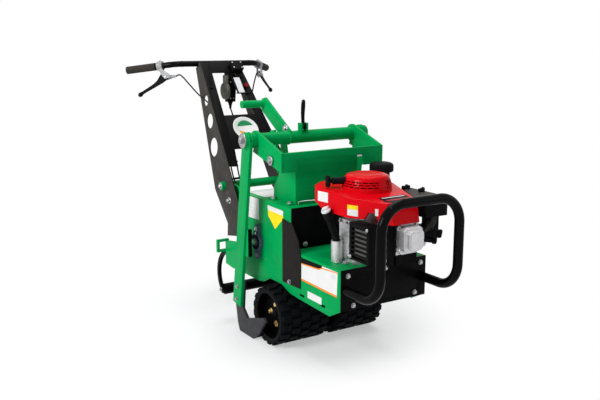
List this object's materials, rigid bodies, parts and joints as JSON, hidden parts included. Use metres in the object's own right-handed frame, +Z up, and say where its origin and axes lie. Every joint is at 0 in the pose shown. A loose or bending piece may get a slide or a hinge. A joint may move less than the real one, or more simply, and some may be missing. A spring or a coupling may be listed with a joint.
{
  "type": "sod cutter",
  "caption": "Walk-behind sod cutter: petrol engine on a folded chassis, lugged drive wheels, lift frame with swinging blade arms, side knives and level blade, tilting handle.",
  "frame": {"origin": "middle of the overall box at ground level", "axes": "front of the machine with the engine and guard towards -Y, handle towards +Y, +Z up, +X to the operator's left"},
  "size_m": [0.716, 1.5586, 0.9913],
  "materials": {
    "green_paint": "gloss powder coat",
    "black_paint": "satin powder coat",
    "black_plastic": "matt",
    "red_plastic": "gloss",
    "alloy": "as cast",
    "zinc": "zinc plated",
    "steel": "machined",
    "blade_steel": "dark tempered",
    "iron": "painted blue grey",
    "rubber": "matt",
    "tyre": "matt",
    "pale_plastic": "matt"
  },
  "bodies": {
    "chassis": {"side_plate_right": "green_paint", "side_plate_left": "green_paint", "deck_plate": "green_paint", "front_panel": "black_paint", "gear_case": "green_paint", "case_front": "black_paint", "gear_shelf": "green_paint", "side_guards": "black_paint", "front_guard": "black_paint", "tower": "green_paint", "lift_shaft": "zinc", "handle_tube": "green_paint", "flange_bearings": "iron", "gearbox": "iron", "chassis_bolts": "zinc", "engine_block": "alloy", "valve_cover": "alloy", "shroud": "red_plastic", "starter_dome": "red_plastic", "muffler": "black_paint", "fuel_tank": "black_plastic", "air_cleaner": "black_plastic", "filler_tube": "black_plastic", "drive_belt": "rubber"},
    "engine_shaft": {"engine_shaft": "steel"},
    "input_pulley": {"input_pulley": "steel"},
    "crankshaft": {"crankshaft": "steel"},
    "drive_wheels": {"drive_axle": "steel", "wheel_right": "black_paint", "wheel_left": "black_paint", "tyre_right": "tyre", "tyre_left": "tyre"},
    "lift_frame": {"lift_bars": "green_paint", "lift_front": "green_paint", "lift_tube": "green_paint", "depth_lever": "green_paint"},
    "latch": {"latch_lever": "black_plastic"},
    "arm_pins": {"arm_pins": "zinc"},
    "cutter": {"blade_arm_right": "green_paint", "blade_arm_left": "green_paint", "side_knives": "blade_steel", "cutting_blade": "blade_steel", "tie_tube": "black_paint", "blade_bolts": "zinc"},
    "handle": {"handle_side_right": "black_paint", "handle_side_left": "black_paint", "handle_top_plate": "black_paint", "handle_mid_plate": "black_paint", "handlebar": "black_paint", "grips": "rubber", "lever_perches": "alloy", "control_box": "black_plastic", "control_cables": "rubber"},
    "right_lever": {"hand_lever_right": "black_plastic"},
    "left_lever": {"hand_lever_left": "black_plastic"},
    "throttle": {"throttle_lever": "steel"},
    "stop_button": {"stop_button": "red_plastic"},
    "fuel_cap": {"fuel_cap": "black_plastic"},
    "dipstick": {"dipstick": "pale_plastic"},
    "starter_grip": {"starter_grip": "black_plastic"}
  },
  "joints": [
    {"name": "engine_spin", "type": "hinge", "parent": "chassis", "child": "engine_shaft", "pos_m": [0, -0.4881, 0.36501], "axis": [0, 0, 1], "continuous": true},
    {"name": "input_spin", "type": "hinge", "parent": "chassis", "child": "input_pulley", "pos_m": [0, -0.07511, 0.258], "axis": [0, 0, 1], "continuous": true},
    {"name": "crank_spin", "type": "hinge", "parent": "chassis", "child": "crankshaft", "pos_m": [0, -0.06906, 0.34801], "axis": [1, 0, 0], "continuous": true},
    {"name": "wheel_spin", "type": "hinge", "parent": "chassis", "child": "drive_wheels", "pos_m": [0, -0.20309, 0.107], "axis": [1, 0, 0], "continuous": true},
    {"name": "lift_swing", "type": "hinge", "parent": "chassis", "child": "lift_frame", "pos_m": [0, -0.23111, 0.67302], "axis": [1, 0, 0], "range_deg": [-15, 5]},
    {"name": "latch_swing", "type": "hinge", "parent": "lift_frame", "child": "latch", "pos_m": [0, -0.1271, 0.77098], "axis": [1, 0, 0], "range_deg": [-20, 20]},
    {"name": "pin_swing", "type": "hinge", "parent": "lift_frame", "child": "arm_pins", "pos_m": [0, -0.11807, 0.73201], "axis": [1, 0, 0], "range_deg": [-4.5, 13.2]},
    {"name": "cutter_swing", "type": "hinge", "parent": "arm_pins", "child": "cutter", "pos_m": [0, -0.11807, 0.73201], "axis": [1, 0, 0], "range_deg": [-0.75, 0.75]},
    {"name": "handle_tilt", "type": "hinge", "parent": "chassis", "child": "handle", "pos_m": [0, 0.27492, 0.50002], "axis": [1, 0, 0], "range_deg": [-7, 7]},
    {"name": "right_squeeze", "type": "hinge", "parent": "handle", "child": "right_lever", "pos_m": [-0.22983, 0.61923, 0.92302], "axis": [0.7126, 0.6154, -0.3369], "range_deg": [0, 26], "stiffness_Nm_per_rad": 0.6, "springref_deg": -20.05},
    {"name": "left_squeeze", "type": "hinge", "parent": "handle", "child": "left_lever", "pos_m": [0.22983, 0.61923, 0.92302], "axis": [0.7126, -0.6154, 0.3369], "range_deg": [0, 26], "stiffness_Nm_per_rad": 0.6, "springref_deg": -20.05},
    {"name": "throttle_swing", "type": "hinge", "parent": "handle", "child": "throttle", "pos_m": [0, 0.56027, 0.86036], "axis": [1, 0, 0], "range_deg": [0, 40]},
    {"name": "stop_press", "type": "slide", "parent": "handle", "child": "stop_button", "axis": [0, 0.7694, -0.6388], "range_m": [0, 0.004], "stiffness_N_per_m": 300, "springref_m": -0.002},
    {"name": "cap_turn", "type": "hinge", "parent": "chassis", "child": "fuel_cap", "pos_m": [0.16299, -0.3581, 0.56501], "axis": [0, 0, 1], "range_deg": [0, 90]},
    {"name": "dipstick_pull", "type": "slide", "parent": "chassis", "child": "dipstick", "axis": [-0.3907, 0, 0.9205], "range_m": [0, 0.1]},
    {"name": "starter_pull", "type": "slide", "parent": "chassis", "child": "starter_grip", "axis": [-0.9336, 0.3584, 0], "range_m": [0, 0.07], "stiffness_N_per_m": 40, "springref_m": -0.1}
  ],
  "couplings": [
    {"joint": "input_spin", "follows": "engine_spin", "ratio": 0.6534},
    {"joint": "crank_spin", "follows": "engine_spin", "ratio": 0.2},
    {"joint": "pin_swing", "follows": "lift_swing", "ratio": -0.87}
  ]
}
